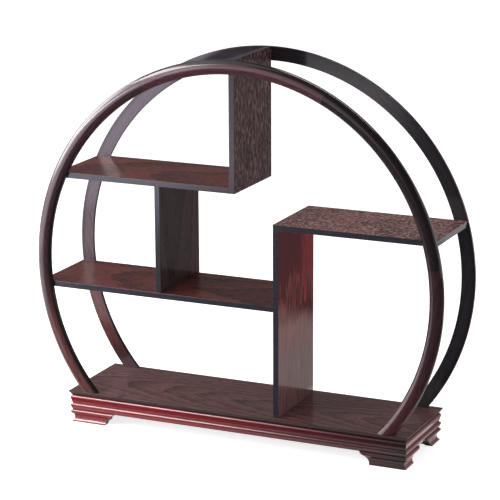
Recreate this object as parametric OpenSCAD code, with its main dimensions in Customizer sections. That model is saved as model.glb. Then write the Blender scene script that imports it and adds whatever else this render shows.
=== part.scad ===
// Round display shelf for teapots: two wooden hoops on a moulded base with
// bracket feet, and a stepped set of shelves and panels held between the hoops.
// The shelf stands on z = 0, x runs to the right, y runs to the back.
// The origin is under the middle of the base.

/* [Hoops] */
// Outer radius of both hoops
hoop_outer_r = 301; // [260:1:340]
// Height of the hoops' centre over the base top
hoop_centre_h = 186.8; // [170:0.1:205]
// Width of the hoop ring, seen from the front
hoop_w = 19.5; // [15:0.5:22]
// Thickness of a hoop from its flat inner face to the crown
hoop_t = 9; // [8.5:0.5:11]
// Radius of the arris between the hoop's crowned face and its upright side
hoop_corner_r = 1.5; // [1.3:0.1:2.5]
// Radius of the crown on the hoop's outer face
hoop_crown_r = 12; // [11.5:0.5:24]
// Angle that one hoop segment spans
segment_angle = 54; // [45:1:58]
// Length of the loose tenon in a joint between two hoop segments
splice_l = 26; // [18:1:34]
// Width of that loose tenon, across the ring
splice_w = 8; // [6:0.5:10]
// Thickness of that loose tenon, front to back
splice_t = 2.5; // [2:0.5:3]
// Wood left between that tenon's mortise and the tips of the dowel holes
splice_clear = 0.4; // [0.2:0.1:0.6]
// Width of the tenon at each end of a hoop
end_tenon_w = 11; // [8:0.5:12]
// Thickness of the tenon at each end of a hoop
end_tenon_t = 3.5; // [3:0.5:4.5]
// Depth to which that tenon enters the rail under the base top
end_tenon_in_rail = 5; // [3:0.5:8]

/* [Shelves and panels] */
// Thickness of every shelf and panel
board_t = 8; // [6:0.5:10]
// Depth of every shelf and panel, which is the gap between the hoops
board_d = 122; // [100:1:150]
// Height of the upper left shelf's underside over the base top
upper_shelf_h = 306.6; // [290:0.1:320]
// Height of the middle shelf's underside over the base top
middle_shelf_h = 148.7; // [135:0.1:165]
// Height of the right shelf's underside over the base top
right_shelf_h = 262.4; // [250:0.1:275]
// Place of the upper panel's left face
upper_panel_x = -6.3; // [-20:0.1:20]
// Place of the left divider's left face
divider_x = -118.9; // [-135:0.1:-100]
// Place of the right panel's left face
right_panel_x = 57.3; // [45:0.1:75]
// Gap from the upper left shelf's end to the hoops' outer edge
upper_shelf_end_in = 4; // [0:0.5:6]
// Gap from the other shelves' ends to the hoops' outer edge
shelf_end_in = 0.5; // [0:0.5:4]
// Width of the eased edge along the front and back of a board
board_ease = 0.6; // [0.3:0.1:1.2]

/* [Dowels] */
// Diameter of the dowels
dowel_d = 3; // [2:0.5:4]
// Depth of a dowel in a hoop, from its flat face
dowel_in_hoop = 4; // [3:0.5:4.5]
// Depth of a dowel in the thickness of a board
dowel_short = 4.5; // [3:0.5:5]
// Depth of a dowel in the end or edge of a board
dowel_long = 11; // [8:0.5:16]
// Distance from the two dowels of a board joint to the board's middle
dowel_spread = 36; // [20:1:44]
// Radial clearance of a dowel in its hole
dowel_gap = 0.05; // [0.02:0.01:0.1]
// Clearance at the end of each blind hole or mortise
blind_gap = 0.5; // [0.3:0.1:1]
// Clearance round a tenon in its mortise
tenon_gap = 0.1; // [0.05:0.05:0.2]

/* [Base] */
// Length of the base top past the hoops' feet, at each end
base_overhang = 20; // [12:0.1:40]
// Width of the base top in front of and behind the hoops
base_margin = 0.5; // [0.5:0.5:12]
// Thickness of the base top board
base_top_t = 7; // [6:0.5:10]
// Height of the square land along the base top's edge
base_land_h = 0.9; // [0.5:0.1:1.5]
// Height of the rails' upper bead
upper_bead_h = 12; // [10:0.5:14]
// Height of the rails' lower bead
lower_bead_h = 9.5; // [8:0.5:12]
// Distance that the bead noses lie in from the base top's edge
nose_in = 1.9; // [1:0.1:3]
// Distance that the quirks between the beads lie in from that edge
quirk_in = 4.2; // [3.5:0.1:5]
// Radius of the beads' noses
bead_nose_r = 3.2; // [2.5:0.1:3.6]
// Distance from that edge to the inner face of the rails and feet
rail_in = 14; // [12:0.5:18]
// Length of the corner blocks inside the base, along its front and back
corner_block_l = 38; // [18:1:44]
// Length of the corner blocks along its ends
corner_block_d = 19; // [12:1:24]
// Gap between the corner blocks and the floor
corner_block_up = 1; // [0.5:0.5:5]

/* [Feet] */
// Height of the bracket feet
foot_h = 17.5; // [15:0.5:24]
// Height of the bead along the top of the feet
foot_bead_h = 6.5; // [6:0.5:8]
// Radius of that bead's nose
foot_bead_r = 2.8; // [2:0.1:2.8]
// Distance that the flared lip of the feet lies in from the base top's edge
lip_in = 3; // [2:0.1:4]
// Distance that the cove of the feet lies in from that edge
cove_in = 6.1; // [5:0.1:7]
// Height of the lip's upright edge over the floor
lip_h = 1; // [0.5:0.1:2]
// Length of the front and back brackets at their top
face_bracket_l = 70; // [55:1:90]
// Length of the front and back brackets at the floor
face_bracket_foot_l = 55; // [45:1:60]
// Length of the side brackets at their top
side_bracket_l = 57; // [45:1:62]
// Length of the side brackets at the floor
side_bracket_foot_l = 34; // [25:1:40]
// Length and height of the bevelled nose at the brackets' upper inner end
bracket_nose = 3.5; // [2:0.5:5]
// Depth of the cove in the inner end of the front and back brackets
face_bracket_cove = 1.8; // [1:0.1:4]
// Depth of the cove in the inner end of the side brackets
side_bracket_cove = 3.6; // [1:0.1:4]

/* [Hidden] */
$fn = 96;

// Heights over the floor
rail_h = upper_bead_h + lower_bead_h;
base_h = foot_h + rail_h + base_top_t;
hoop_z = base_h + hoop_centre_h;
upper_shelf_z = base_h + upper_shelf_h;
middle_shelf_z = base_h + middle_shelf_h;
right_shelf_z = base_h + right_shelf_h;

// Radii and planes of the hoops
hoop_mid_r = hoop_outer_r - hoop_w / 2;
hoop_inner_r = hoop_outer_r - hoop_w;
hoop_flat_y = board_d / 2;
base_angle = asin(hoop_centre_h / hoop_mid_r);
hoop_foot_x = sqrt(hoop_mid_r * hoop_mid_r - hoop_centre_h * hoop_centre_h);
joint_angles = [for (i = [-1.5 : 1 : 1.5]) 90 + i * segment_angle];

// Half width of a circle of radius r at the height z over the floor
function half_chord(r, z) = sqrt(r * r - (z - hoop_z) * (z - hoop_z));

// Length and depth of the base, measured at the top board
base_l = 2 * (half_chord(hoop_outer_r, base_h) + base_overhang);
base_d = board_d + 2 * hoop_t + 2 * base_margin;

// Ends of the boards on the hoops' outer edge
upper_shelf_end_x = -half_chord(hoop_outer_r, upper_shelf_z + board_t) + upper_shelf_end_in;
middle_shelf_end_x = -half_chord(hoop_outer_r, middle_shelf_z) + shelf_end_in;
right_shelf_end_x = half_chord(hoop_outer_r, right_shelf_z + board_t) - shelf_end_in;
upper_panel_top_z = hoop_z + hoop_outer_r - shelf_end_in;

// The tenon at a hoop end lies inside the ring both at the base top and at its tip
end_tenon_l = base_top_t + end_tenon_in_rail;
end_tenon_tip_x = half_chord(hoop_mid_r, base_h - end_tenon_l);
end_tenon_x = (hoop_foot_x + end_tenon_tip_x) / 2;

wood_dark = "#3a1a1c";
wood_red = "#5a1c1c";
wood_shelf = "#4a2622";

// Section of a hoop: x runs across the ring, y from the flat face outwards
module hoop_section() {
    half = hoop_w / 2;
    corner_x = half - hoop_corner_r;
    crown_y = hoop_t - hoop_crown_r;
    reach = hoop_crown_r - hoop_corner_r;
    corner_y = crown_y + sqrt(reach * reach - corner_x * corner_x);
    wedge = hoop_crown_r / reach * 1.2;
    translate([-half, 0])
        square([hoop_w, corner_y]);
    for (side = [-1, 1])
        translate([side * corner_x, corner_y])
            circle(hoop_corner_r);
    intersection() {
        translate([0, crown_y])
            circle(hoop_crown_r, $fn = 360);
        translate([-half, 0])
            square([hoop_w, hoop_t + 1]);
        polygon([
            [0, crown_y],
            [corner_x * wedge, crown_y + (corner_y - crown_y) * wedge],
            [-corner_x * wedge, crown_y + (corner_y - crown_y) * wedge]
        ]);
    }
}

// A sector of the hoop ring between two angles, standing in the front hoop's place
module ring_sector(a0, a1) {
    translate([0, -hoop_flat_y, hoop_z])
        rotate([90, 0, 0])
            rotate([0, 0, a0])
                rotate_extrude(angle = a1 - a0, $fn = 360)
                    translate([hoop_mid_r, 0])
                        hoop_section();
}

// The loose tenon in a segment joint, past the tips of the dowels in the flat face
module splice(angle, gap) {
    l = splice_l + (gap > 0 ? 2 * blind_gap : 0);
    y = dowel_in_hoop + blind_gap + splice_clear + splice_t / 2;
    translate([0, -hoop_flat_y - y, hoop_z])
        rotate([0, -angle, 0])
            translate([hoop_mid_r, 0, 0])
                cube([splice_w + 2 * gap, splice_t + 2 * gap, l], center = true);
}

// The tenon at the foot of a hoop, flush with the hoop's flat face
module end_tenon(side, gap) {
    depth = end_tenon_l + (gap > 0 ? blind_gap : 0);
    translate([
        side * end_tenon_x - end_tenon_w / 2 - gap,
        -hoop_flat_y - end_tenon_t - gap,
        base_h - depth
    ])
        cube([end_tenon_w + 2 * gap, end_tenon_t + 2 * gap, depth + (gap > 0 ? 1 : 0)]);
}

// A dowel along z from its joint plane: down into one piece and up into the other
module dowel(down, up, gap) {
    end = gap > 0 ? blind_gap : 0;
    translate([0, 0, -down - end])
        cylinder(d = dowel_d + 2 * gap, h = down + up + 2 * end, $fn = 48);
}

// Dowels from the shelves' and the upper panel's ends into the front hoop
module hoop_dowel_row(gap) {
    for (p = [
        [-half_chord(hoop_mid_r, upper_shelf_z + board_t / 2), upper_shelf_z + board_t / 2],
        [-half_chord(hoop_mid_r, middle_shelf_z + board_t / 2), middle_shelf_z + board_t / 2],
        [half_chord(hoop_mid_r, right_shelf_z + board_t / 2), right_shelf_z + board_t / 2],
        [upper_panel_x + board_t / 2, hoop_z + hoop_mid_r]
    ])
        translate([p[0], -hoop_flat_y, p[1]])
            rotate([90, 0, 0])
                dowel(dowel_long, dowel_in_hoop, gap);
}

module hoop_dowel_set(gap) {
    hoop_dowel_row(gap);
    mirror([0, 1, 0])
        hoop_dowel_row(gap);
}

// Dowels of the joints between the boards, and of the right panel on the base
module shelf_dowel_set(gap) {
    for (side = [-1, 1])
        translate([0, side * dowel_spread, 0]) {
            translate([upper_panel_x, 0, upper_shelf_z + board_t / 2])
                rotate([0, 90, 0])
                    dowel(dowel_long, dowel_short, gap);
            translate([right_panel_x, 0, middle_shelf_z + board_t / 2])
                rotate([0, 90, 0])
                    dowel(dowel_long, dowel_short, gap);
            translate([divider_x + board_t / 2, 0, upper_shelf_z])
                dowel(dowel_long, dowel_short, gap);
            translate([divider_x + board_t / 2, 0, middle_shelf_z + board_t])
                dowel(dowel_short, dowel_long, gap);
            translate([right_panel_x + board_t / 2, 0, right_shelf_z])
                dowel(dowel_long, dowel_short, gap);
            translate([right_panel_x + board_t / 2, 0, base_h])
                dowel(dowel_short, dowel_long, gap);
        }
}

// One segment of the front hoop
module hoop_segment(a0, a1, colour) {
    color(colour)
        difference() {
            ring_sector(a0, a1);
            for (a = joint_angles)
                splice(a, tenon_gap);
            hoop_dowel_row(dowel_gap);
        }
}

// An end segment, cut off level where it meets the base top, with its tenon
module hoop_end_segment(side, colour) {
    a0 = side > 0 ? -base_angle - 12 : joint_angles[3];
    a1 = side > 0 ? joint_angles[0] : 180 + base_angle + 12;
    color(colour)
        difference() {
            union() {
                difference() {
                    ring_sector(a0, a1);
                    translate([-hoop_outer_r, -hoop_flat_y - 2 * hoop_t, base_h - 2 * hoop_outer_r])
                        cube([2 * hoop_outer_r, 3 * hoop_t, 2 * hoop_outer_r]);
                }
                end_tenon(side, 0);
            }
            for (a = joint_angles)
                splice(a, tenon_gap);
            hoop_dowel_row(dowel_gap);
        }
}

module front_hoop_right_end() {
    hoop_end_segment(1, wood_dark);
}

module front_hoop_right() {
    hoop_segment(joint_angles[0], joint_angles[1], wood_dark);
}

module front_hoop_top() {
    hoop_segment(joint_angles[1], joint_angles[2], wood_red);
}

module front_hoop_left() {
    hoop_segment(joint_angles[2], joint_angles[3], wood_red);
}

module front_hoop_left_end() {
    hoop_end_segment(-1, wood_red);
}

module back_hoop_right_end() {
    mirror([0, 1, 0])
        hoop_end_segment(1, wood_dark);
}

module back_hoop_right() {
    mirror([0, 1, 0])
        hoop_segment(joint_angles[0], joint_angles[1], wood_dark);
}

module back_hoop_top() {
    mirror([0, 1, 0])
        hoop_segment(joint_angles[1], joint_angles[2], wood_dark);
}

module back_hoop_left() {
    mirror([0, 1, 0])
        hoop_segment(joint_angles[2], joint_angles[3], wood_red);
}

module back_hoop_left_end() {
    mirror([0, 1, 0])
        hoop_end_segment(-1, wood_red);
}

// Outline of a board seen along its length, with eased front and back edges
module board_section() {
    d = board_d / 2;
    e = board_ease;
    polygon([
        [-d + e, 0], [d - e, 0], [d, e], [d, board_t - e],
        [d - e, board_t], [-d + e, board_t], [-d, board_t - e], [-d, e]
    ]);
}

// A shelf from x0 to x1 with its underside at the height z
module shelf(x0, x1, z) {
    color(wood_shelf)
        difference() {
            translate([x0, 0, z])
                rotate([90, 0, 90])
                    linear_extrude(x1 - x0)
                        board_section();
            hoop_dowel_set(dowel_gap);
            shelf_dowel_set(dowel_gap);
        }
}

// An upright panel from the height z0 to z1 with its left face at x
module panel(x, z0, z1, colour) {
    color(colour)
        difference() {
            translate([x, 0, z0])
                mirror([1, -1, 0])
                    linear_extrude(z1 - z0)
                        board_section();
            hoop_dowel_set(dowel_gap);
            shelf_dowel_set(dowel_gap);
        }
}

module shelf_upper_left() {
    shelf(upper_shelf_end_x, upper_panel_x, upper_shelf_z);
}

module shelf_middle() {
    shelf(middle_shelf_end_x, right_panel_x, middle_shelf_z);
}

module shelf_right() {
    shelf(right_panel_x, right_shelf_end_x, right_shelf_z);
}

module panel_upper() {
    panel(upper_panel_x, upper_shelf_z, upper_panel_top_z, wood_shelf);
}

module divider_left() {
    panel(divider_x, middle_shelf_z + board_t, upper_shelf_z, wood_shelf);
}

module panel_right() {
    panel(right_panel_x, base_h, right_shelf_z, wood_red);
}

// Edge of the base top seen along one side: a square land over a bevelled underside
module base_top_edge(w) {
    polygon([
        [-w / 2, 0], [w / 2, 0], [w / 2, -base_land_h],
        [w / 2 - quirk_in, -base_top_t], [-w / 2 + quirk_in, -base_top_t],
        [-w / 2, -base_land_h]
    ]);
}

module base_top_board() {
    color(wood_dark)
        difference() {
            translate([0, 0, base_h])
                intersection() {
                    translate([-base_l / 2, 0, 0])
                        rotate([90, 0, 90])
                            linear_extrude(base_l)
                                base_top_edge(base_d);
                    translate([0, base_d / 2, 0])
                        rotate([90, 0, 0])
                            linear_extrude(base_d)
                                base_top_edge(base_l);
                }
            for (side = [-1, 1]) {
                end_tenon(side, tenon_gap);
                mirror([0, 1, 0])
                    end_tenon(side, tenon_gap);
            }
            shelf_dowel_set(dowel_gap);
        }
}

// Angle at which the line from the point q touches a circle of radius r round c
function touch_angle(q, c, r) =
    atan2(q[1] - c[1], q[0] - c[0]) - acos(r / norm(q - c));

// One bead seen along a rail, with its top at the height z and its inner side at rail_in.
// Its nose, of radius r, is round near the top and tapers down to the quirk.
module bead(z, h, r) {
    c = [nose_in + r, z - r];
    q = [quirk_in, z - h];
    a = touch_angle(q, c, r);
    translate(c)
        circle(r);
    polygon([
        [rail_in, z], [c[0], z], c,
        c + r * [cos(a), sin(a)],
        q, [rail_in, z - h]
    ]);
}

module rail_section() {
    bead(0, upper_bead_h, bead_nose_r);
    bead(-upper_bead_h, lower_bead_h, bead_nose_r);
}

// A round cut through the points p and q that goes depth deep past the line between them.
// Its centre lies to the right of the way from q to p.
module cove_cut(p, q, depth) {
    half = norm(p - q) / 2;
    r = (half * half + depth * depth) / (2 * depth);
    out = [p[1] - q[1], q[0] - p[0]] / (2 * half);
    translate((p + q) / 2 + out * (r - depth))
        circle(r);
}

// Section of a foot: a bead, a cove and a flared lip down to the floor
module foot_section() {
    top = [quirk_in, -foot_bead_h];
    lip = [lip_in, -foot_h + lip_h];
    bead(0, foot_bead_h, foot_bead_r);
    difference() {
        polygon([
            [rail_in, top[1]], top, lip,
            [lip_in, -foot_h], [rail_in, -foot_h]
        ]);
        cove_cut(lip, top, cove_in - (quirk_in + lip_in) / 2);
    }
}

// A length of moulding along a side of the base that is l long and d away across.
// Its profile's top is at the height z, and both its ends are mitred.
module mitred_side(l, d, z) {
    translate([0, 0, z])
        intersection() {
            translate([-l / 2, -d / 2, 0])
                rotate([90, 0, 90])
                    linear_extrude(l)
                        children();
            translate([0, 0, -base_h])
                linear_extrude(2 * base_h)
                    polygon([
                        [-l / 2, -d / 2], [l / 2, -d / 2],
                        [l / 2 - rail_in, -d / 2 + rail_in],
                        [-l / 2 + rail_in, -d / 2 + rail_in]
                    ]);
        }
}

module long_rail() {
    color(wood_red)
        difference() {
            mitred_side(base_l, base_d, foot_h + rail_h)
                rail_section();
            for (side = [-1, 1])
                end_tenon(side, tenon_gap);
        }
}

module short_rail() {
    color(wood_red)
        rotate([0, 0, -90])
            mitred_side(base_d, base_l, foot_h + rail_h)
                rail_section();
}

module rail_front() {
    long_rail();
}

module rail_back() {
    mirror([0, 1, 0])
        long_rail();
}

module rail_left() {
    short_rail();
}

module rail_right() {
    mirror([1, 0, 0])
        short_rail();
}

// Outline of a bracket from the front, from its corner at x = 0: a bevelled nose at the
// upper inner end, then a cove down to the floor
module bracket_outline(top_l, floor_l, cove) {
    nose = [top_l - bracket_nose, foot_h - bracket_nose];
    toe = [floor_l, 0];
    difference() {
        polygon([[0, 0], toe, nose, [top_l, foot_h], [0, foot_h]]);
        cove_cut(nose, toe, cove);
    }
}

// A bracket at the left end of a side of the base that is l long and d away across
module bracket(l, d, top_l, floor_l, cove) {
    intersection() {
        mitred_side(l, d, foot_h)
            foot_section();
        translate([-l / 2, 0, 0])
            rotate([90, 0, 0])
                linear_extrude(d)
                    bracket_outline(top_l, floor_l, cove);
    }
}

module face_bracket() {
    color(wood_red)
        bracket(base_l, base_d, face_bracket_l, face_bracket_foot_l, face_bracket_cove);
}

module side_bracket() {
    color(wood_red)
        mirror([1, -1, 0])
            bracket(base_d, base_l, side_bracket_l, side_bracket_foot_l, side_bracket_cove);
}

module foot_front_left_face_bracket() {
    face_bracket();
}

module foot_front_left_side_bracket() {
    side_bracket();
}

module foot_front_right_face_bracket() {
    mirror([1, 0, 0])
        face_bracket();
}

module foot_front_right_side_bracket() {
    mirror([1, 0, 0])
        side_bracket();
}

module foot_back_left_face_bracket() {
    mirror([0, 1, 0])
        face_bracket();
}

module foot_back_left_side_bracket() {
    mirror([0, 1, 0])
        side_bracket();
}

module foot_back_right_face_bracket() {
    rotate([0, 0, 180])
        face_bracket();
}

module foot_back_right_side_bracket() {
    rotate([0, 0, 180])
        side_bracket();
}

// A block in the inner corner of the rails and a foot, clear of the floor
module corner_block() {
    color(wood_dark)
        translate([-base_l / 2 + rail_in, -base_d / 2 + rail_in, corner_block_up])
            cube([corner_block_l, corner_block_d, base_h - base_top_t - corner_block_up]);
}

module corner_block_front_left() {
    corner_block();
}

module corner_block_front_right() {
    mirror([1, 0, 0])
        corner_block();
}

module corner_block_back_left() {
    mirror([0, 1, 0])
        corner_block();
}

module corner_block_back_right() {
    rotate([0, 0, 180])
        corner_block();
}

module hoop_splice_tenons() {
    color(wood_red)
        for (a = joint_angles) {
            splice(a, 0);
            mirror([0, 1, 0])
                splice(a, 0);
        }
}

module hoop_dowels() {
    color(wood_red)
        hoop_dowel_set(0);
}

module shelf_dowels() {
    color(wood_red)
        shelf_dowel_set(0);
}

front_hoop_right_end();
front_hoop_right();
front_hoop_top();
front_hoop_left();
front_hoop_left_end();
back_hoop_right_end();
back_hoop_right();
back_hoop_top();
back_hoop_left();
back_hoop_left_end();
shelf_upper_left();
shelf_middle();
shelf_right();
panel_upper();
divider_left();
panel_right();
base_top_board();
rail_front();
rail_back();
rail_left();
rail_right();
foot_front_left_face_bracket();
foot_front_left_side_bracket();
foot_front_right_face_bracket();
foot_front_right_side_bracket();
foot_back_left_face_bracket();
foot_back_left_side_bracket();
foot_back_right_face_bracket();
foot_back_right_side_bracket();
corner_block_front_left();
corner_block_front_right();
corner_block_back_left();
corner_block_back_right();
hoop_splice_tenons();
hoop_dowels();
shelf_dowels();
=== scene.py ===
import math

import bmesh
import bpy
from mathutils import Matrix, Vector


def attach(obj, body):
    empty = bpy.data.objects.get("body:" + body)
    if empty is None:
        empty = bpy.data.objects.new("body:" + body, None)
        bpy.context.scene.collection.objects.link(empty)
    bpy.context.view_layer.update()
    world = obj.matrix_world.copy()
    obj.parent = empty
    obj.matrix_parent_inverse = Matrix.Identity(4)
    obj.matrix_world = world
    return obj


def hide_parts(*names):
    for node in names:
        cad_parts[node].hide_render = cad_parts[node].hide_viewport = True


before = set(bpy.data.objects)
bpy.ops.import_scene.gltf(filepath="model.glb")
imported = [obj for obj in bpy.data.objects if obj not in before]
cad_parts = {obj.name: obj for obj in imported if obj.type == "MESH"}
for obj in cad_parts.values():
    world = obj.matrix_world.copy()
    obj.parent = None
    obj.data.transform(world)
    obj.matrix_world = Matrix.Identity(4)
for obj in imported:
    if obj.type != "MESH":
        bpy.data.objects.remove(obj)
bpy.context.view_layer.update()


# Feet. Four bracket feet, each of two pieces of wood mitred at the corner.
# A bracket is run with a bead, a cove and a flared lip, its inner end is sawn to
# a bevelled nose over a hollow, and it is glued up under the rails.

MM = 0.001
X, Y, Z = 0, 1, 2

base_l = 512.04 * MM
base_d = 141 * MM
foot_h = 17.5 * MM
moulding_t = 14 * MM

# How far in from the edge of the base a bead's nose and the quirk under it lie.
nose_in = 1.9 * MM
quirk_in = 4.2 * MM
bead_facets = 10

# A section stops a hair before the plane of the moulding's back, which closes it.
hair = 0.01 * MM
touching = 0.0001 * MM
smooth_below = math.radians(32)


def line_to(bm, vert, place):
    """Carries a section on from a vertex with a straight line."""
    new = bmesh.ops.extrude_vert_indiv(bm, verts=[vert])["verts"][0]
    new.co = place
    return new


def arc_to(bm, vert, centre, degrees, steps, axis=(1, 0, 0)):
    """Carries a section on from a vertex with an arc round a centre."""
    turned = bmesh.ops.spin(
        bm, geom=[vert], cent=centre, axis=axis,
        angle=math.radians(degrees), steps=steps,
    )
    return [g for g in turned["geom_last"] if isinstance(g, bmesh.types.BMVert)][0]


def run_bead(bm, vert, z, height, radius):
    """Runs a bead down from the height z: a round nose that tapers to the quirk."""
    y = -base_d / 2
    vert = line_to(bm, vert, (0, y + nose_in + radius, z))
    across, down = quirk_in - nose_in - radius, radius - height
    reach = math.hypot(across, down)
    turn = 270 - math.degrees(math.atan2(-down, across) + math.acos(radius / reach))
    vert = arc_to(bm, vert, (0, y + nose_in + radius, z - radius), turn, bead_facets)
    return line_to(bm, vert, (0, y + quirk_in, z - height))


def run_length(bm, near_end, far_end):
    """Turns a section's outline into a length of moulding between two ends.
    An end is a function that says how far along a point of the section lies."""
    sheet = bmesh.ops.extrude_edge_only(bm, edges=bm.edges[:])["geom"]
    for v in sheet:
        if isinstance(v, bmesh.types.BMVert):
            v.co.y = -base_d / 2 + moulding_t
    bmesh.ops.remove_doubles(bm, verts=bm.verts, dist=touching)
    near = bm.verts[:]
    far = bmesh.ops.extrude_face_region(bm, geom=bm.faces[:])["geom"]
    far = [g for g in far if isinstance(g, bmesh.types.BMVert)]
    for v in near:
        v.co.x = near_end(v.co)
    for v in far:
        v.co.x = far_end(v.co)


def ease(bm, width, segments, sharper=30):
    """Rounds every edge that turns by more than some degrees."""
    edges = [
        e for e in bm.edges
        if len(e.link_faces) == 2 and e.calc_face_angle() > math.radians(sharper)
    ]
    bmesh.ops.bevel(
        bm, geom=edges, offset=width, segments=segments, profile=0.5,
        affect="EDGES", material=-1, clamp_overlap=True,
    )


def close_up(bm):
    """Merges doubles and turns every face outwards."""
    bmesh.ops.remove_doubles(bm, verts=bm.verts, dist=touching)
    bmesh.ops.dissolve_degenerate(bm, edges=bm.edges, dist=touching)
    bmesh.ops.recalc_face_normals(bm, faces=bm.faces)


def put_in_scene(bm, name):
    """Makes an object of a mesh that has been built."""
    mesh = bpy.data.meshes.new(name)
    bm.to_mesh(mesh)
    bm.free()
    made = bpy.data.objects.new(name, mesh)
    bpy.context.scene.collection.objects.link(made)
    return made


def make_piece(bm, name, node, slot, *woods):
    """Makes the wooden piece that stands for one solid of the shelf."""
    close_up(bm)
    piece = put_in_scene(bm, name)
    piece.data.shade_smooth()
    piece.data.set_sharp_from_angle(angle=smooth_below)
    for wood in woods:
        piece.data.materials.append(wood)
    level = piece.modifiers.new("level_faces", "WEIGHTED_NORMAL")
    level.keep_sharp = True
    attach(piece, "root")
    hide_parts(node)


def node_group(name, inputs, outputs):
    """An empty shader node group with its named sockets."""
    group = bpy.data.node_groups.new(name, "ShaderNodeTree")
    for label, kind, value in inputs:
        made = group.interface.new_socket(label, in_out="INPUT", socket_type=kind)
        if value is not None:
            made.default_value = value
    for label, kind in outputs:
        group.interface.new_socket(label, in_out="OUTPUT", socket_type=kind)
    return group


def add_node(tree, kind, settings=None, **values):
    """A node with its settings and the values or links of its inputs. An input goes
    by its name, with _ for a space, or by its number, such as i0."""
    node = tree.nodes.new(kind)
    for key, value in (settings or {}).items():
        setattr(node, key, value)
    for key, value in values.items():
        numbered = key[0] == "i" and key[1:].isdigit()
        socket = node.inputs[int(key[1:]) if numbered else key.replace("_", " ")]
        if isinstance(value, bpy.types.NodeSocket):
            tree.links.new(value, socket)
        else:
            socket.default_value = value
    return node


def reckon(tree, operation, *terms, clamp=False):
    """One step of arithmetic on values and links."""
    settings = {"operation": operation, "use_clamp": clamp}
    inputs = {f"i{n}": term for n, term in enumerate(terms)}
    return add_node(tree, "ShaderNodeMath", settings, **inputs).outputs[0]


def smooth_step(tree, value, clear, full):
    """0 where a value is still clear, 1 where it is full, and a smooth rise between."""
    step = add_node(tree, "ShaderNodeMapRange", {"interpolation_type": "SMOOTHSTEP"},
                    Value=value, From_Min=clear, From_Max=full)
    return step.outputs[0]


def streaks(tree, place, fineness, detail):
    """Soft noise, drawn out along the ways in which its fineness is low."""
    spread = add_node(tree, "ShaderNodeMapping", Vector=place, Scale=fineness)
    noise = add_node(tree, "ShaderNodeTexNoise", Vector=spread.outputs[0], Scale=1.0,
                     Detail=detail)
    return noise.outputs["Fac"]


def lay_over(tree, share, under, over):
    """Lays one colour over another by a share from 0 to 1."""
    mix = add_node(tree, "ShaderNodeMix", {"data_type": "RGBA"}, Factor=share,
                   i6=under, i7=over)
    return mix.outputs[2]


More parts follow.
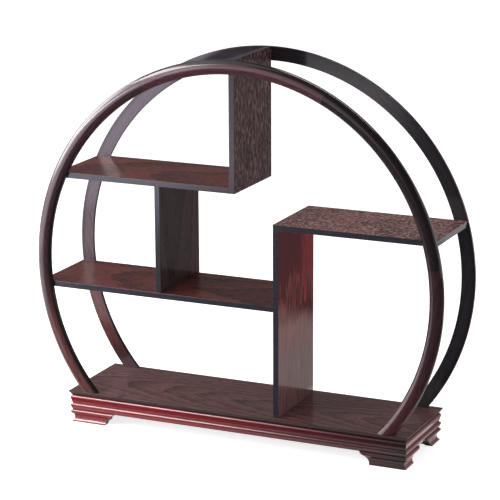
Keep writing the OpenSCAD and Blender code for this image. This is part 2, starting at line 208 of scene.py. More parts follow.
def open_grain_group():
    """Open-pored wood under stain, with its grain along X: rings, fibres and pores."""
    g = node_group(
        "open_grain",
        [
            ("Vector", "NodeSocketVector", None),
            ("Bright", "NodeSocketColor", (0.2, 0.05, 0.04, 1)),
            ("Deep", "NodeSocketColor", (0.06, 0.015, 0.015, 1)),
            ("Pore", "NodeSocketColor", (0.01, 0.006, 0.006, 1)),
            ("Ring Spacing", "NodeSocketFloat", 0.007),
            ("Figure", "NodeSocketFloat", 0.6),
            ("Pores", "NodeSocketFloat", 0.6),
            ("Fineness", "NodeSocketFloat", 1.0),
            ("Fleck", "NodeSocketColor", (0.3, 0.2, 0.15, 1)),
            ("Flecks", "NodeSocketFloat", 0.0),
            ("Fleck Grain", "NodeSocketVector", (90.0, 380.0, 380.0)),
        ],
        [
            ("Color", "NodeSocketColor"),
            ("Roughness", "NodeSocketFloat"),
            ("Height", "NodeSocketFloat"),
        ],
    )
    put = g.nodes.new("NodeGroupInput").outputs
    out = g.nodes.new("NodeGroupOutput").inputs

    # The grain wanders a little, and its rings lie round a tilted heart.
    wander = add_node(g, "ShaderNodeMapping", Vector=put["Vector"], Scale=(3.0, 14.0, 14.0))
    drift = add_node(g, "ShaderNodeTexNoise", Vector=wander.outputs[0], Scale=1.0, Detail=2.0)
    shift = add_node(g, "ShaderNodeVectorMath", {"operation": "MULTIPLY_ADD"},
                     i0=drift.outputs["Color"], i1=(0.0, 0.016, 0.016), i2=put["Vector"])
    tilt = add_node(g, "ShaderNodeMapping", Vector=shift.outputs[0],
                    Location=(0.0, 0.006, 0.035), Rotation=(0.0, 0.045, 0.012))
    spacing_at_scale_1 = 0.3142
    rings = add_node(g, "ShaderNodeTexWave",
                     {"wave_type": "RINGS", "rings_direction": "X", "wave_profile": "SAW"},
                     Vector=tilt.outputs[0], Distortion=0.6, Detail=2.0, Detail_Scale=2.0,
                     Scale=reckon(g, "DIVIDE", spacing_at_scale_1, put["Ring Spacing"]))
    ring = rings.outputs["Fac"]

    # Long fibres, and short pores that crowd together in each ring's early wood.
    scaled = add_node(g, "ShaderNodeVectorMath", {"operation": "SCALE"},
                      i0=shift.outputs[0], Scale=put["Fineness"])
    fibres = streaks(g, scaled.outputs[0], (18.0, 620.0, 620.0), 3.0)
    specks = streaks(g, scaled.outputs[0], (85.0, 1150.0, 1150.0), 1.0)
    early = add_node(g, "ShaderNodeMapRange", Value=ring, From_Min=0.35, To_Max=0.09)
    crowded = reckon(g, "ADD", specks, early.outputs[0])
    pores = reckon(g, "MULTIPLY", smooth_step(g, crowded, 0.56, 0.66), put["Pores"])

    # The stain is deeper in clouds, rings and fibres. Dark pores lie in it, and pale
    # flecks over it where the lacquer has caught in the grain.
    cloud = add_node(g, "ShaderNodeTexNoise", Vector=wander.outputs[0], Scale=0.6, Detail=3.0)
    streak = reckon(g, "MULTIPLY_ADD", fibres, 0.9, -0.45)
    figure = reckon(g, "MULTIPLY_ADD", ring, put["Figure"], streak)
    tone = reckon(g, "MULTIPLY_ADD", cloud.outputs["Fac"], 0.6, figure, clamp=True)
    stained = lay_over(g, tone, put["Bright"], put["Deep"])
    filled = lay_over(g, pores, stained, put["Pore"])
    dashes = streaks(g, shift.outputs[0], put["Fleck Grain"], 1.0)
    flecks = reckon(g, "MULTIPLY", smooth_step(g, dashes, 0.48, 0.64), put["Flecks"])
    g.links.new(lay_over(g, flecks, filled, put["Fleck"]), out["Color"])

    # Pores are duller than the wood round them, and sunk.
    g.links.new(reckon(g, "MULTIPLY_ADD", pores, 0.25, 0.3), out["Roughness"])
    sunk = reckon(g, "MULTIPLY_ADD", pores, -1.0, 1.0)
    g.links.new(reckon(g, "MULTIPLY_ADD", fibres, 0.25, sunk), out["Height"])
    return g


open_grain = open_grain_group()


def new_material(name):
    """A plain material, with its node tree and its surface shader."""
    m = bpy.data.materials.new(name)
    m.use_nodes = True
    return m, m.node_tree, m.node_tree.nodes["Principled BSDF"]


def lacquered_wood(name, turn, bright, deep, pore, ring=7, figure=0.6, pores=0.6,
                   relief=0.25, coat=0.5, coat_rough=0.12, move=(0, 0, 0), fineness=1.0,
                   fleck=(0.3, 0.2, 0.15), flecks=0.0, fleck_grain=(90, 380, 380)):
    """Stained and lacquered open-grained wood. Turn brings the piece's grain onto X."""
    m, tree, shader = new_material(name)
    where = add_node(tree, "ShaderNodeTexCoord")
    set_along = add_node(tree, "ShaderNodeMapping", Vector=where.outputs["Object"],
                         Rotation=turn, Location=move)
    wood = add_node(tree, "ShaderNodeGroup", {"node_tree": open_grain},
                    Vector=set_along.outputs[0], Bright=(*bright, 1), Deep=(*deep, 1),
                    Pore=(*pore, 1), Ring_Spacing=ring * MM, Figure=figure, Pores=pores,
                    Fineness=fineness, Fleck=(*fleck, 1), Flecks=flecks,
                    Fleck_Grain=fleck_grain)
    bump = add_node(tree, "ShaderNodeBump", Height=wood.outputs["Height"], Strength=relief,
                    Distance=0.4 * MM)
    tree.links.new(wood.outputs["Color"], shader.inputs["Base Color"])
    tree.links.new(wood.outputs["Roughness"], shader.inputs["Roughness"])
    tree.links.new(bump.outputs[0], shader.inputs["Normal"])
    shader.inputs["Specular IOR Level"].default_value = 0.05
    shader.inputs["Coat Weight"].default_value = coat
    shader.inputs["Coat Roughness"].default_value = coat_rough
    shader.inputs["Coat IOR"].default_value = 1.5
    return m


def stain_and_shade_over(wood, share, colour):
    """Lays a colour over all that a wood's surface shows so far."""
    tree = wood.node_tree
    surface = tree.nodes["Principled BSDF"].inputs["Base Color"]
    so_far = surface.links[0].from_socket
    tree.links.new(lay_over(tree, share, so_far, colour), surface)


def change_stain_and_shade(wood, bright, deep, axis, start, full, ragged=0.0):
    """Lets a second stain take over along an axis, with an edge that may be ragged. Some
    uses paint light and shade with it.
    """
    tree = wood.node_tree
    first = next(n for n in tree.nodes if n.type == "GROUP")
    second = add_node(tree, "ShaderNodeGroup", {"node_tree": open_grain})
    for socket in first.inputs:
        if socket.is_linked:
            tree.links.new(socket.links[0].from_socket, second.inputs[socket.name])
        else:
            second.inputs[socket.name].default_value = socket.default_value
    second.inputs["Bright"].default_value = (*bright, 1)
    second.inputs["Deep"].default_value = (*deep, 1)
    where = add_node(tree, "ShaderNodeTexCoord").outputs["Object"]
    along = add_node(tree, "ShaderNodeSeparateXYZ", Vector=where).outputs[axis]
    fineness = [140.0, 140.0, 140.0]
    fineness[axis] = 16.0
    tears = streaks(tree, where, fineness, 2.0)
    torn = reckon(tree, "MULTIPLY_ADD", tears, ragged, -0.5 * ragged)
    share = smooth_step(tree, reckon(tree, "ADD", along, torn), start, full)
    stain_and_shade_over(wood, share, second.outputs["Color"])


# The turns that bring a grain which runs along a piece's X, Y or Z onto X.
ALONG_X = (0, 0, 0)
ALONG_Y = (0, 0, math.radians(-90))
ALONG_Z = (0, math.radians(90), 0)

# The red of the long mouldings deepens towards the right and is almost black at the end.
red_moulding = {
    "bright": (0.34, 0.020, 0.026), "deep": (0.12, 0.011, 0.014), "pore": (0.022, 0.006, 0.007),
    "figure": 0.35, "pores": 0.35, "relief": 0.12, "coat": 0.75, "coat_rough": 0.1,
}
moulding_x = lacquered_wood("red_moulding_long", ALONG_X, **red_moulding)
change_stain_and_shade(moulding_x, (0.080, 0.012, 0.015), (0.032, 0.008, 0.010), X, -0.12, 0.24)
change_stain_and_shade(moulding_x, (0.026, 0.010, 0.010), (0.013, 0.008, 0.008), X, 0.19, 0.27)
moulding_y = lacquered_wood("red_moulding_short", ALONG_Y, **red_moulding)
# Near black: the stain of the brackets' sawn ends, and painted shade on the corner blocks.
black_stain_and_shade = lacquered_wood(
    "black_end_stain_and_shade", ALONG_Z, (0.020, 0.010, 0.011), (0.010, 0.006, 0.007),
    (0.006, 0.005, 0.005), figure=0.3, pores=0.5, relief=0.2, coat=0.04, coat_rough=0.4,
)

foot_bead_h = 6.5 * MM
foot_bead_r = 2.8 * MM
lip_in = 3 * MM
lip_h = 1 * MM
cove_in = 6.1 * MM
cove_facets = 12
bracket_nose = 3.5 * MM
foot_arris = 0.25 * MM

# A face bracket and a side bracket: its length at the top and on the floor, and the
# depth of the hollow in its sawn end.
face_bracket = (70 * MM, 55 * MM, 1.8 * MM)
side_bracket = (57 * MM, 34 * MM, 3.6 * MM)


def hollow(p, q, depth):
    """Centre and radius of a round hollow between two points (across, height)."""
    half = (p - q).length / 2
    radius = (half * half + depth * depth) / (2 * depth)
    out = Vector((p.y - q.y, q.x - p.x)) / (2 * half)
    return (p + q) / 2 + out * (radius - depth), radius


def bracket(top_l, floor_l, hollow_depth, side_l):
    """A bracket at the left end of a side, from its mitre to its sawn end."""
    bm = bmesh.new()
    y = -base_d / 2
    v = bm.verts.new((0, y + moulding_t - hair, foot_h))
    v = run_bead(bm, v, foot_h, foot_bead_h, foot_bead_r)
    top = Vector((quirk_in, foot_h - foot_bead_h))
    lip = Vector((lip_in, lip_h))
    centre, radius = hollow(lip, top, cove_in - (quirk_in + lip_in) / 2)
    sweep = 2 * math.degrees(math.asin((top - lip).length / 2 / radius))
    v = arc_to(bm, v, (0, y + centre.x, centre.y), -sweep, cove_facets)
    v = line_to(bm, v, (0, y + lip_in, 0))
    line_to(bm, v, (0, y + moulding_t - hair, 0))

    nose = Vector((top_l - bracket_nose, foot_h - bracket_nose))
    toe = Vector((floor_l, 0))
    mid, round_r = hollow(nose, toe, hollow_depth)

    def mitre(co):
        return -side_l / 2 + (co.y - y)

    def sawn_end(co):
        if co.z >= nose.y:
            return -side_l / 2 + top_l - (foot_h - co.z)
        reach = math.sqrt(max(round_r ** 2 - (co.z - mid.y) ** 2, 0))
        return -side_l / 2 + mid.x - reach

    bmesh.ops.bisect_plane(
        bm, geom=bm.verts[:] + bm.edges[:], plane_co=(0, 0, nose.y), plane_no=(0, 0, 1)
    )
    run_length(bm, mitre, sawn_end)
    bmesh.ops.recalc_face_normals(bm, faces=bm.faces)
    for f in bm.faces:
        is_sawn = f.normal.x > 0.3
        f.material_index = 1 if is_sawn else 0
    ease(bm, foot_arris, 2, sharper=40)
    return bm


def set_down(bm, on_end=False, flip_x=False, flip_y=False):
    """Takes a piece made for the front left to its own corner, end or side."""
    m = Matrix.Diagonal((-1 if flip_x else 1, -1 if flip_y else 1, 1, 1))
    if on_end:
        bmesh.ops.translate(bm, vec=(0, (base_d - base_l) / 2, 0), verts=bm.verts)
        m = m @ Matrix(((0, 1, 0, 0), (1, 0, 0, 0), (0, 0, 1, 0), (0, 0, 0, 1)))
    bmesh.ops.transform(bm, matrix=m, verts=bm.verts)


for back in (False, True):
    for right in (False, True):
        corner = ("back" if back else "front") + ("_right" if right else "_left")
        bm = bracket(*face_bracket, base_l)
        set_down(bm, flip_x=right, flip_y=back)
        make_piece(bm, f"bracket_{corner}_face", f"foot_{corner}_face_bracket", "base_wood",
                   moulding_x, black_stain_and_shade)
        bm = bracket(*side_bracket, base_d)
        set_down(bm, on_end=True, flip_x=right, flip_y=back)
        make_piece(bm, f"bracket_{corner}_side", f"foot_{corner}_side_bracket", "base_wood",
                   moulding_y, black_stain_and_shade)


# Rails. Four moulded rails of the same stained wood with two beads each, mitred round
# the base. They stand on the feet, and the top board is glued down on them.

rail_h = 21.5 * MM
upper_bead_h = 12 * MM
lower_bead_h = 9.5 * MM
bead_r = 3.2 * MM
rail_arris = 0.2 * MM


def rail(length):
    """A rail along the front, mitred at both ends."""
    bm = bmesh.new()
    y = -base_d / 2
    top = foot_h + rail_h
    v = bm.verts.new((0, y + moulding_t - hair, top))
    v = run_bead(bm, v, top, upper_bead_h, bead_r)
    v = run_bead(bm, v, top - upper_bead_h, lower_bead_h, bead_r)
    line_to(bm, v, (0, y + moulding_t - hair, foot_h))
    run_length(bm, lambda co: -length / 2 + (co.y - y), lambda co: length / 2 - (co.y - y))
    ease(bm, rail_arris, 2, sharper=40)
    return bm


for back in (False, True):
    side = "back" if back else "front"
    bm = rail(base_l)
    set_down(bm, flip_y=back)
    make_piece(bm, f"moulded_rail_{side}", f"rail_{side}", "base_wood", moulding_x)
for right in (False, True):
    side = "right" if right else "left"
    bm = rail(base_d)
    set_down(bm, on_end=True, flip_x=right)
    make_piece(bm, f"moulded_rail_{side}", f"rail_{side}", "base_wood", moulding_y)


# Corner blocks. Blocks of solid wood glued into the inner corners of the base, which
# back a foot's two brackets and tie them to the rails over them. Their black is painted
# shade, for the shadow under the base behind the feet.


def refinish(node, material):
    """Gives a solid of the frame its own material."""
    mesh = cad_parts[node].data
    mesh.materials.clear()
    mesh.materials.append(material)


# Painted shade: the corner blocks are black for the shadow under the base.
for corner in ("front_left", "front_right", "back_left", "back_right"):
    refinish(f"corner_block_{corner}", black_stain_and_shade)


# Base top. One wide board with a square land along its edge and a bevel under it,
# mortised for the hoops' tenons, stained darker than the mouldings and lacquered.

base_top_t = 7 * MM
base_h = foot_h + rail_h + base_top_t
land_h = 0.9 * MM
top_arris = 0.3 * MM

top_pore = (0.010, 0.006, 0.006)
top_wood = lacquered_wood(
    "dark_top_board", (0, 0.04, 0.01), (0.245, 0.100, 0.092), (0.070, 0.038, 0.036), top_pore,
    ring=5, figure=0.6, pores=0.65, relief=0.15, coat=0.75, coat_rough=0.07, fineness=0.7,
)
dark_edge = lacquered_wood(
    "dark_board_edge", ALONG_X, (0.060, 0.030, 0.027), (0.022, 0.014, 0.013), top_pore,
    figure=0.3, pores=0.5, relief=0.12, coat=0.3, coat_rough=0.2,
)


def carry_down(bm, faces, drop):
    """Extrudes flat faces straight down and returns the new faces."""
    made = bmesh.ops.extrude_face_region(bm, geom=faces)["geom"]
    verts = [g for g in made if isinstance(g, bmesh.types.BMVert)]
    bmesh.ops.translate(bm, vec=(0, 0, -drop), verts=verts)
    return [g for g in made if isinstance(g, bmesh.types.BMFace)]


bm = bmesh.new()
bmesh.ops.create_grid(bm, x_segments=1, y_segments=1, size=0.5)
bmesh.ops.scale(bm, vec=(base_l, base_d, 1), verts=bm.verts)
bmesh.ops.translate(bm, vec=(0, 0, base_h), verts=bm.verts)
land = carry_down(bm, bm.faces[:], land_h)
under = carry_down(bm, land, base_top_t - land_h)
bmesh.ops.delete(bm, geom=land, context="FACES_ONLY")
bmesh.ops.scale(
    bm, vec=((base_l - 2 * quirk_in) / base_l, (base_d - 2 * quirk_in) / base_d, 1),
    verts=under[0].verts,
)
bmesh.ops.recalc_face_normals(bm, faces=bm.faces)
for f in bm.faces:
    is_edge = abs(f.normal.z) < 0.9
    f.material_index = 1 if is_edge else 0
ease(bm, top_arris, 3)
make_piece(bm, "dark_top_board", "base_top_board", "base_wood", top_wood, dark_edge)


# Hoops. Each of the two hoops is five segments sawn from plank, joined end to end
# with loose tenons and shaped to a flat inner face, upright sides and a crowned
# outer face. Its two ends go through the base top in mortises.

hoop_outer_r = 301 * MM
hoop_w = 19.5 * MM
hoop_t = 9 * MM
hoop_inner_r = hoop_outer_r - hoop_w
hoop_mid_r = hoop_outer_r - hoop_w / 2
hoop_z = base_h + 186.8 * MM
hoop_flat_y = 61 * MM
corner_r = 1.5 * MM
crown_r = 12 * MM
arris_r = 0.5 * MM
joint_arris = 0.12 * MM
corner_facets = 5
crown_facets = 24
arris_facets = 3

# How far in from the outer side the painted shade is gone and full, and how softly the
# painted shade of the inner side ends.
outer_shade_gone = 7 * MM
outer_shade_full = 2.5 * MM
inner_shade_soft = 3 * MM

# The angles of the joints and of the base top, seen from the hoops' centre. A segment
# that goes into the base is run on past it and cut level.
joints = (9, 63, 117, 171)
base_angle = math.degrees(math.asin((hoop_z - base_h) / hoop_mid_r))
run_on = 12


def hoop_segment(a0, a1, level_end):
    """A segment of the front hoop between two angles."""
    bm = bmesh.new()
    half = hoop_w / 2
    corner_x = half - corner_r
    crown_y = hoop_t - crown_r
    corner_y = crown_y + math.sqrt((crown_r - corner_r) ** 2 - corner_x ** 2)
    lean = math.degrees(math.asin(corner_x / (crown_r - corner_r)))

    def at(x, y):
        return (hoop_mid_r + x, -hoop_flat_y - y, 0)

    up = (0, 0, -1)
    first = v = bm.verts.new(at(half - arris_r, 0))
    v = arc_to(bm, v, at(half - arris_r, arris_r), 90, arris_facets, axis=up)
    v = line_to(bm, v, at(half, corner_y))
    v = arc_to(bm, v, at(corner_x, corner_y), 90 - lean, corner_facets, axis=up)
    v = arc_to(bm, v, at(0, crown_y), 2 * lean, crown_facets, axis=up)
    v = arc_to(bm, v, at(-corner_x, corner_y), 90 - lean, corner_facets, axis=up)
    v = line_to(bm, v, at(-half, arris_r))
    v = arc_to(bm, v, at(-half + arris_r, arris_r), 90, arris_facets, axis=up)
    bm.edges.new((v, first))
    section = bm.verts[:] + bm.edges[:]
    turn = Matrix.Rotation(math.radians(a0), 4, (0, -1, 0))
    bmesh.ops.transform(bm, matrix=turn, verts=bm.verts)
    bmesh.ops.spin(
        bm, geom=section, cent=(0, 0, 0), axis=(0, -1, 0),
        angle=math.radians(a1 - a0), steps=round(a1 - a0),
    )
    bmesh.ops.translate(bm, vec=(0, 0, hoop_z), verts=bm.verts)
    if level_end:
        bmesh.ops.bisect_plane(
            bm, geom=bm.verts[:] + bm.edges[:] + bm.faces[:],
            plane_co=(0, 0, base_h), plane_no=(0, 0, -1), clear_outer=True,
        )
    caps = bmesh.ops.holes_fill(bm, edges=[e for e in bm.edges if e.is_boundary])["faces"]
    rims = list({e for f in caps for e in f.edges})
    bmesh.ops.bevel(
        bm, geom=rims, offset=joint_arris, segments=1, profile=0.5,
        affect="EDGES", material=-1, clamp_overlap=True,
    )
    return bm


def darker(stain):
    """A stain's colour where it lies deepest."""
    return tuple(c * 0.45 for c in stain)


def hoop_radius(tree, where):
    """How far a place lies from the axis that the hoops go round."""
    centred = add_node(tree, "ShaderNodeMapping", Vector=where, Location=(0, 0, -hoop_z),
                       Scale=(1, 0, 1))
    length = add_node(tree, "ShaderNodeVectorMath", {"operation": "LENGTH"},
                      i0=centred.outputs[0])
    return length.outputs["Value"]


def painted_shade_outer(wood):
    """Paints black shade onto the outer arris and the outer side of a hoop."""
    tree = wood.node_tree
    where = add_node(tree, "ShaderNodeTexCoord").outputs["Object"]
    outside = smooth_step(tree, hoop_radius(tree, where), hoop_outer_r - outer_shade_gone,
                          hoop_outer_r - outer_shade_full)
    stain_and_shade_over(wood, outside, (0.017, 0.011, 0.012, 1))


def painted_shade_inner(wood, face_width, gone_at, full_at):
    """Paints black shade onto a hoop's inner side and a strip of its face, below a height."""
    tree = wood.node_tree
    where = add_node(tree, "ShaderNodeTexCoord").outputs["Object"]
    height = add_node(tree, "ShaderNodeSeparateXYZ", Vector=where).outputs[Z]
    strip_r = hoop_inner_r + face_width
    inside = smooth_step(tree, hoop_radius(tree, where), strip_r + inner_shade_soft, strip_r)
    low = smooth_step(tree, height, gone_at, full_at)
    stain_and_shade_over(wood, reckon(tree, "MULTIPLY", inside, low), (0.015, 0.011, 0.012, 1))


hoop_pore = (0.010, 0.006, 0.007)
red_stain = (0.138, 0.048, 0.048)
wine_stain = (0.098, 0.038, 0.047)
brown_stain = (0.060, 0.028, 0.033)
black_brown = (0.030, 0.019, 0.021)
black_grey = (0.031, 0.027, 0.034)
purple_grey = (0.085, 0.055, 0.080)
purple_brown = (0.094, 0.048, 0.064)

# A segment's place, its two angles, and its colour on the front and on the back hoop.
# The colours are the segments' stains in part and painted light in part: the near black
# of the front hoop's right segment and of the back hoop from its right end over the top
# is painted shade, and the purple grey at the back hoop's left a painted reflection of
# the cool light at the front left.
segments = (
    ("right_end", -base_angle - run_on, joints[0], brown_stain, black_grey),
    ("right", joints[0], joints[1], black_brown, black_grey),
    ("top", joints[1], joints[2], wine_stain, black_grey),
    ("left", joints[2], joints[3], brown_stain, purple_grey),
    ("left_end", joints[3], 180 + base_angle + run_on, brown_stain, purple_brown),
)

# The colours that take over lower down, stains in part and painted light in part like the
# segments' colours: a colour, where it starts and where it is full.
lower_stains_and_light = {
    "front_right_end": [((0.090, 0.030, 0.032), 170 * MM, 70 * MM)],
    "front_left_end": [(red_stain, 220 * MM, 120 * MM)],
    "back_left_end": [((0.150, 0.044, 0.042), 210 * MM, 170 * MM),
                      ((0.055, 0.022, 0.022), 95 * MM, 60 * MM)],
}

# The painted shade on an inner side: its strip on the face, and the heights where it is
# gone and where it is full.
inner_shades = {
    "front_left": (1.4 * MM, 420 * MM, 330 * MM),
    "front_left_end": (1.4 * MM, 420 * MM, 330 * MM),
    "back_left_end": (0.8 * MM, 215 * MM, 190 * MM),
}

for place, a0, a1, front_stain_and_light, back_stain_and_light in segments:
    plank_angle = (max(a0, -base_angle) + min(a1, 180 + base_angle)) / 2 + 90
    for back in (False, True):
        side = "back" if back else "front"
        stain = back_stain_and_light if back else front_stain_and_light
        wood = lacquered_wood(
            f"hoop_{side}_{place}", (0, math.radians(plank_angle), 0), stain, darker(stain),
            hoop_pore, figure=0.3, pores=0.35, relief=0.12, coat=0.75, coat_rough=0.1,
            move=(0.13 * len(place), 0.07 if back else 0.0, 0.05),
        )
        # Painted shade, almost black, along the outer side of the back hoop and of the front
        # hoop's top and right segments.
        if back or place in ("top", "right"):
            painted_shade_outer(wood)
        for lower, start, full in lower_stains_and_light.get(f"{side}_{place}", ()):
            change_stain_and_shade(wood, lower, darker(red_stain), Z, start, full)
        # Painted shade, almost black, on the inner side of some segments, low down.
        if f"{side}_{place}" in inner_shades:
            painted_shade_inner(wood, *inner_shades[f"{side}_{place}"])
        bm = hoop_segment(a0, a1, level_end=place.endswith("_end"))
        set_down(bm, flip_y=back)
        make_piece(bm, f"{side}_hoop_segment_{place}", f"{side}_hoop_{place}", "hoop_wood", wood)


# Shelves and panels. Three shelves and three upright panels of the same thin
# board, butted and dowelled to one another, their arrises eased and their edges
# stained almost black.

board_t = 8 * MM
board_d = 2 * hoop_flat_y
board_arris = 0.35 * MM

board_pore = (0.016, 0.008, 0.008)
shelf_wood = lacquered_wood(
    "shelf_board", ALONG_X, (0.225, 0.056, 0.045), (0.055, 0.013, 0.011), board_pore,
    ring=8, figure=0.5, pores=0.8, relief=0.3, coat=0.45, coat_rough=0.25,
)
right_shelf_wood = lacquered_wood(
    "pale_grained_shelf_board", ALONG_X, (0.36, 0.115, 0.098), (0.10, 0.035, 0.032), board_pore,
    ring=8, figure=0.5, pores=0.9, relief=0.4, coat=0.75, coat_rough=0.14, fineness=1.1,
    fleck=(0.70, 0.43, 0.38), flecks=0.65, fleck_grain=(230, 210, 210),
)
upper_panel_wood = lacquered_wood(
    "coarse_grained_upright_board", ALONG_Z, (0.115, 0.043, 0.045), (0.030, 0.011, 0.013),
    board_pore, ring=8, figure=0.5, pores=1.0, relief=0.5, coat=0.75, coat_rough=0.15,
    fineness=1.1, fleck=(0.40, 0.25, 0.24), flecks=0.6, fleck_grain=(105, 430, 430),
)
divider_wood = lacquered_wood(
    "dark_upright_board", ALONG_Z, (0.080, 0.055, 0.055), (0.030, 0.021, 0.021), board_pore,
    ring=8, figure=0.6, pores=0.9, relief=0.3, coat=0.75, coat_rough=0.12,
)
change_stain_and_shade(divider_wood, (0.15, 0.065, 0.060), (0.040, 0.024, 0.024), Y, -0.01, 0.045)

# The red of the right panel is deeper towards the front, and it changes down the panel
# in bands with torn edges. The deep red at its top is the wood's flame figure in part,
# and painted shade under the right shelf in part.
red_panel_wood = lacquered_wood(
    "red_upright_board", (0.03, math.radians(93), 0), (0.60, 0.045, 0.065),
    (0.10, 0.012, 0.018), board_pore, ring=9, figure=0.25, pores=0.3, relief=0.2,
    coat=0.75, coat_rough=0.08, fineness=0.45,
)
change_stain_and_shade(red_panel_wood, (0.19, 0.013, 0.020), (0.05, 0.006, 0.009), Y, 0.035, 0.008)
# Paler bands lower down; the deeper red above them is in part painted shade.
change_stain_and_shade(red_panel_wood, (0.44, 0.090, 0.088), (0.14, 0.022, 0.023), Z, 0.230, 0.216, 0.18)
change_stain_and_shade(red_panel_wood, (0.24, 0.014, 0.022), (0.07, 0.007, 0.010), Z, 0.202, 0.194, 0.16)
change_stain_and_shade(red_panel_wood, (0.42, 0.110, 0.105), (0.16, 0.042, 0.040), Z, 0.180, 0.162, 0.07)
change_stain_and_shade(red_panel_wood, (0.34, 0.160, 0.145), (0.11, 0.052, 0.048), Z, 0.165, 0.105, 0.1)

# The faint blue in the edges' near black is a painted reflection of the cool light at the front
# left.
edge_wood = lacquered_wood(
    "black_edge", ALONG_X, (0.036, 0.033, 0.045), (0.022, 0.020, 0.028), (0.016, 0.012, 0.015),
    figure=0.3, pores=0.4, relief=0.12, coat=0.6, coat_rough=0.14,
)


def board(name, node, x0, x1, z0, z1, face_wood, flat):
    """A board between two corners, its wide faces flat or upright."""
    bm = bmesh.new()
    bmesh.ops.create_cube(bm, size=1)
    bmesh.ops.scale(bm, vec=(x1 - x0, board_d, z1 - z0), verts=bm.verts)
    bmesh.ops.translate(bm, vec=((x0 + x1) / 2, 0, (z0 + z1) / 2), verts=bm.verts)
    bmesh.ops.recalc_face_normals(bm, faces=bm.faces)
    for f in bm.faces:
        is_wide = abs(f.normal.z if flat else f.normal.x) > 0.5
        f.material_index = 0 if is_wide else 1
    ease(bm, board_arris, 3)
    make_piece(bm, name, node, "board_wood", face_wood, edge_wood)


def shelf(name, node, x0, x1, z, face_wood):
    """A flat board whose underside lies at the height z."""
    board(name, node, x0, x1, z, z + board_t, face_wood, flat=True)


def panel(name, node, x, z0, z1, face_wood):
    """An upright board whose left face lies at x."""
    board(name, node, x, x + board_t, z0, z1, face_wood, flat=False)


def half_chord(z):
    """Half the width of the hoops' outer edge at the height z."""
    return math.sqrt(hoop_outer_r * hoop_outer_r - (z - hoop_z) ** 2)


upper_z = base_h + 306.6 * MM
middle_z = base_h + 148.7 * MM
right_z = base_h + 262.4 * MM
upper_panel_x = -6.3 * MM
divider_x = -118.9 * MM
right_panel_x = 57.3 * MM
short_of_rim = 0.5 * MM
upper_short_of_rim = 4 * MM

shelf("upper_left_shelf_board", "shelf_upper_left",
      -half_chord(upper_z + board_t) + upper_short_of_rim, upper_panel_x, upper_z, shelf_wood)
shelf("middle_shelf_board", "shelf_middle",
      -half_chord(middle_z) + short_of_rim, right_panel_x, middle_z, shelf_wood)
shelf("right_shelf_board", "shelf_right",
      right_panel_x, half_chord(right_z + board_t) - short_of_rim, right_z, right_shelf_wood)
panel("upper_upright_panel", "panel_upper",
      upper_panel_x, upper_z, hoop_z + hoop_outer_r - short_of_rim, upper_panel_wood)
panel("left_upright_divider", "divider_left",
      divider_x, middle_z + board_t, upper_z, divider_wood)
panel("right_upright_panel", "panel_right", right_panel_x, base_h, right_z, red_panel_wood)


# Tenons and dowels. Plain hardwood pins and loose tenons, hidden in their holes
# once the shelf is glued up.

raw_wood = lacquered_wood(
    "raw_wood", ALONG_Z, (0.33, 0.19, 0.11), (0.21, 0.11, 0.06), (0.10, 0.05, 0.03),
    pores=0.5, coat=0.0, relief=0.4,
)

for node in ("hoop_splice_tenons", "hoop_dowels", "shelf_dowels"):
    refinish(node, raw_wood)


# Floor. A pale, dull floor, on which the shelf stands free on its four feet. The camera
# and the lacquer see it nearly white, and it keeps the shelf's soft shadow.

floor_half = 9
floor_lift = 0.78


def seen_or_mirrored(tree):
    """1 for rays from the camera and for reflections, and 0 for diffuse light."""
    path = add_node(tree, "ShaderNodeLightPath").outputs
    seen = reckon(tree, "MAXIMUM", path["Is Camera Ray"], path["Is Glossy Ray"])
    return reckon(tree, "MAXIMUM", seen, path["Is Transmission Ray"])


bm = bmesh.new()
bmesh.ops.create_grid(bm, x_segments=1, y_segments=1, size=floor_half)
floor = put_in_scene(bm, "floor")
pale_floor, tree, shader = new_material("pale_floor")
shader.inputs["Base Color"].default_value = (0.86, 0.86, 0.86, 1)
shader.inputs["Roughness"].default_value = 0.9
shader.inputs["Specular IOR Level"].default_value = 0.0
shader.inputs["Emission Color"].default_value = (1, 1, 1, 1)
lift = reckon(tree, "MULTIPLY", seen_or_mirrored(tree), floor_lift)
tree.links.new(lift, shader.inputs["Emission Strength"])
floor.data.materials.append(pale_floor)


# Light. A pale room with a large soft lamp at the left and three weaker ones. Cards
# that only reflections see stand round the shelf: dark ones for the table and the
# room, and bright ones for the windows that the lacquer mirrors.

world = bpy.data.worlds.new("room")
bpy.context.scene.world = world
world.use_nodes = True
tree = world.node_tree
sky = tree.nodes["Background"]
room_light = (0.42, 0.42, 0.44, 1)
room_white = (1, 1, 1, 1)
ambient = lay_over(tree, seen_or_mirrored(tree), room_light, room_white)
tree.links.new(ambient, sky.inputs["Color"])
sky.inputs["Strength"].default_value = 1


def soft_lamp(name, place, aim, width, height, radiance, tint):
    """A rectangular soft lamp that faces a point."""
    data = bpy.data.lights.new(name, "AREA")
    data.shape = "RECTANGLE"
    data.size, data.size_y = width, height
    data.energy = radiance * math.pi * width * height
    data.color = tint
    lamp = bpy.data.objects.new(name, data)
    lamp.location = place
    lamp.rotation_euler = (Vector(aim) - Vector(place)).to_track_quat("-Z", "Y").to_euler()
    bpy.context.scene.collection.objects.link(lamp)
    lamp.visible_camera = False
    return lamp


soft_lamp("left_lamp", (-1.9, 0.15, 1.1), (0, 0, 0.3), 1.0, 0.9, 6.5, (1, 0.99, 1))
soft_lamp("front_lamp", (-1.0, -1.7, 0.9), (0, 0, 0.3), 1.2, 1.0, 0.6, (1, 1, 1))
near_lamp = soft_lamp("near_lamp", (-0.85, -0.7, 0.5), (-0.25, 0, 0.1), 0.5, 0.5, 9,
                      (1, 0.98, 0.98))
near_lamp.visible_glossy = False
soft_lamp("top_lamp", (-0.6, -0.5, 1.9), (0, 0, 0.1), 1.2, 1.2, 1.2, (1, 1, 1))


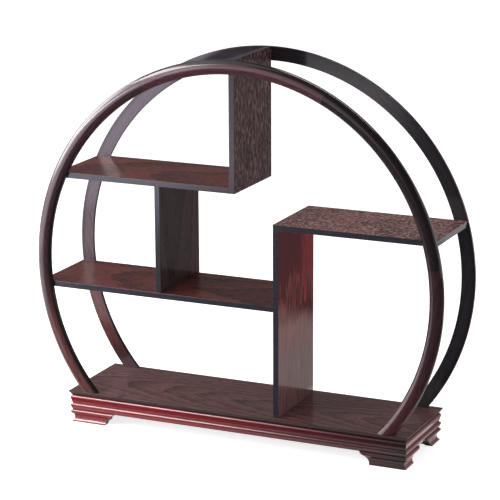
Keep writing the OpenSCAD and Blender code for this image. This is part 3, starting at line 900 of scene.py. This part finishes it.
def card(name, width, height, place, aim, colour, fades=()):
    """A card that only reflections see. Each fade names an axis and the two places
    between which the card comes in from clear to full."""
    bm = bmesh.new()
    bmesh.ops.create_grid(bm, x_segments=1, y_segments=1, size=0.5)
    bmesh.ops.scale(bm, vec=(width, height, 1), verts=bm.verts)
    turn = (Vector(aim) - Vector(place)).to_track_quat("-Z", "Y").to_matrix()
    bmesh.ops.rotate(bm, matrix=turn, verts=bm.verts)
    bmesh.ops.translate(bm, vec=place, verts=bm.verts)
    made = put_in_scene(bm, name)
    glow, tree, shader = new_material(name)
    strength = max(colour)
    shader.inputs["Base Color"].default_value = (0, 0, 0, 1)
    shader.inputs["Specular IOR Level"].default_value = 0
    shader.inputs["Emission Color"].default_value = (*(c / strength for c in colour), 1)
    shader.inputs["Emission Strength"].default_value = strength
    where = add_node(tree, "ShaderNodeTexCoord")
    parts = add_node(tree, "ShaderNodeSeparateXYZ", Vector=where.outputs["Object"])
    cover = 1.0
    for axis, clear, full in fades:
        fade = smooth_step(tree, parts.outputs[axis], clear, full)
        cover = reckon(tree, "MULTIPLY", fade, cover)
    if fades:
        tree.links.new(cover, shader.inputs["Alpha"])
    made.data.materials.append(glow)
    made.visible_camera = False
    made.visible_shadow = False
    made.visible_diffuse = False


# Behind the shelf, mirrored in the tops of the boards.
card("back_card", 1.2, 1.5, (-0.15, 0.66, 0.89), (-0.15, 0, 0.89), (0.16, 0.145, 0.145))
card("back_card_foot", 1.07, 0.3, (-0.085, 0.655, 0.15), (-0.085, 0, 0.15),
     (0.21, 0.18, 0.18), [(Z, 0.28, 0.14)])
card("back_table", 1.07, 0.3, (-0.085, 0.51, 0.001), (-0.085, 0.51, -1),
     (0.04, 0.035, 0.035), [(Y, 0.38, 0.62)])
card("left_back_card", 0.9, 1.1, (-1.2, 0.75, 0.56), (0, 0.1, 0.56), (0.08, 0.06, 0.065))

# On the table before the shelf, mirrored in its upright faces.
card("dark_table", 4.0, 3.9, (1.2, -2.04, 0.002), (1.2, -2.04, -1),
     (0.06, 0.06, 0.07), [(X, -0.74, -0.56)])
card("front_glow", 1.2, 1.8, (-1.2, -1.8, 0.003), (-1.2, -1.8, 1),
     (2.0, 1.8, 1.9), [(X, -0.66, -0.82)])
card("far_glow", 0.5, 0.7, (-0.7, -1.65, 0.0035), (-0.7, -1.65, 1),
     (4.0, 3.0, 3.1), [(Y, -1.32, -1.5), (X, -0.54, -0.64)])
card("low_glow", 0.3, 0.4, (-0.5, -0.42, 0.004), (-0.5, -0.42, 1),
     (2.2, 1.9, 2.0), [(X, -0.36, -0.42), (Y, -0.23, -0.3), (Y, -0.62, -0.5)])

# At the right, mirrored in the end of the base.
card("warm_table", 0.62, 0.55, (0.44, 0.375, 0.0015), (0.44, 0.375, -1),
     (0.56, 0.52, 0.50), [(Y, 0.64, 0.42)])
card("warm_foot", 0.48, 0.12, (0.51, 0.65, 0.06), (0.51, 0, 0.06), (0.14, 0.11, 0.11))

# Round the room and over the shelf, mirrored in the crowned faces, beads and arrises.
card("dark_room", 4.0, 2.6, (1.6, -2.6, 1.31), (0, 0, 0.5), (0.05, 0.045, 0.045))
card("cool_glow", 1.3, 1.0, (-1.05, -0.75, 0.5), (0, 0, 0.5), (4.2, 3.9, 4.5))
card("left_window", 1.2, 0.85, (-1.15, -0.35, 0.70), (0, -0.35, 0.70), (14, 14, 14.4),
     [(Y, -0.92, -0.55), (Y, 0.08, -0.04), (Z, 0.30, 0.46), (Z, 1.11, 0.85)])
card("top_glow", 1.0, 1.9, (-1.5, -1.25, 1.6), (-1.5, -1.25, 0), (22, 20, 20.5),
     [(X, -1.0, -1.4), (Y, -0.3, -0.5), (Y, -2.2, -2.0)])
card("dark_ceiling", 4.2, 5.5, (1.0, -0.25, 2.0), (1.0, -0.25, 0),
     (0.04, 0.035, 0.04), [(X, -1.1, -0.8)])
card("arris_glow", 1.1, 0.55, (0.45, 0.05, 1.6), (0.45, 0.05, 0),
     (18, 17, 17.5), [(X, -0.15, 0.1)])
card("bead_glow", 0.7, 0.46, (-0.4, -0.40, 0.5), (-0.4, -0.40, 0),
     (31, 29, 29.5), [(X, -0.06, -0.4), (Y, -0.17, -0.35)])


# Camera. A long lens to the right of the shelf's front and a little above it, turned a
# hair round its own axis, and shifted so that the whole shelf is in the picture.

azimuth, elevation, roll = (math.radians(a) for a in (24.5757, 15.832, -0.305))
distance = 2.9942
target = Vector((-0.00424, 0, 0.18830))
to_camera = Vector((
    math.sin(azimuth) * math.cos(elevation),
    -math.cos(azimuth) * math.cos(elevation),
    math.sin(elevation),
))
level_right = Vector((math.cos(azimuth), math.sin(azimuth), 0))
level_up = to_camera.cross(level_right)
rolled_right = level_right * math.cos(roll) + level_up * math.sin(roll)
rolled_up = level_up * math.cos(roll) - level_right * math.sin(roll)
data = bpy.data.cameras.new("camera")
data.lens = 155.874
data.sensor_width = 36
data.shift_y = 0.10155
camera = bpy.data.objects.new("camera", data)
camera.location = target + to_camera * distance
camera.rotation_euler = Matrix((rolled_right, rolled_up, to_camera)).transposed().to_euler()
bpy.context.scene.collection.objects.link(camera)
bpy.context.scene.camera = camera

bpy.context.scene.view_settings.view_transform = "Standard"
